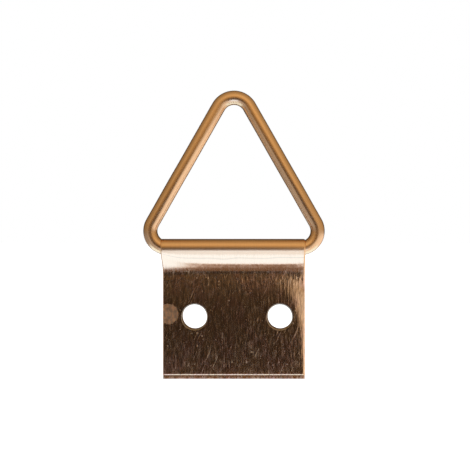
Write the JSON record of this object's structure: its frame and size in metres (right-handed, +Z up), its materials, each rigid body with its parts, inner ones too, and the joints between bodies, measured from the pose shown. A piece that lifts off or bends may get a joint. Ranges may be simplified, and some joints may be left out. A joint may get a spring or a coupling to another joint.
{
  "type": "triangle ring hanger",
  "caption": "Picture hanger: a bent wire triangle that swings in the fold of a doubled brass-plated strap, which is punched with screw holes.",
  "frame": {"origin": "on the back face of the strap, level with the screw holes and midway across the strap's width", "axes": "+Z up towards the ring's apex as the hanger is used, +Y out of the back face, front faces -Y, +X along the fold"},
  "size_m": [0.0256, 0.0026, 0.0407],
  "materials": {
    "strap_brass": "bright brass plate on rolled sheet, with fine grain along the strip",
    "wire_brass": "bright brass plate on drawn wire"
  },
  "bodies": {
    "strap": {"folded_strap": "strap_brass"},
    "ring": {"triangle_ring": "wire_brass"}
  },
  "joints": [
    {"name": "ring_swing", "type": "hinge", "parent": "strap", "child": "ring", "pos_m": [0, -0.0003, 0.0097], "axis": [1, 0, 0], "range_deg": [-165, 165]}
  ]
}
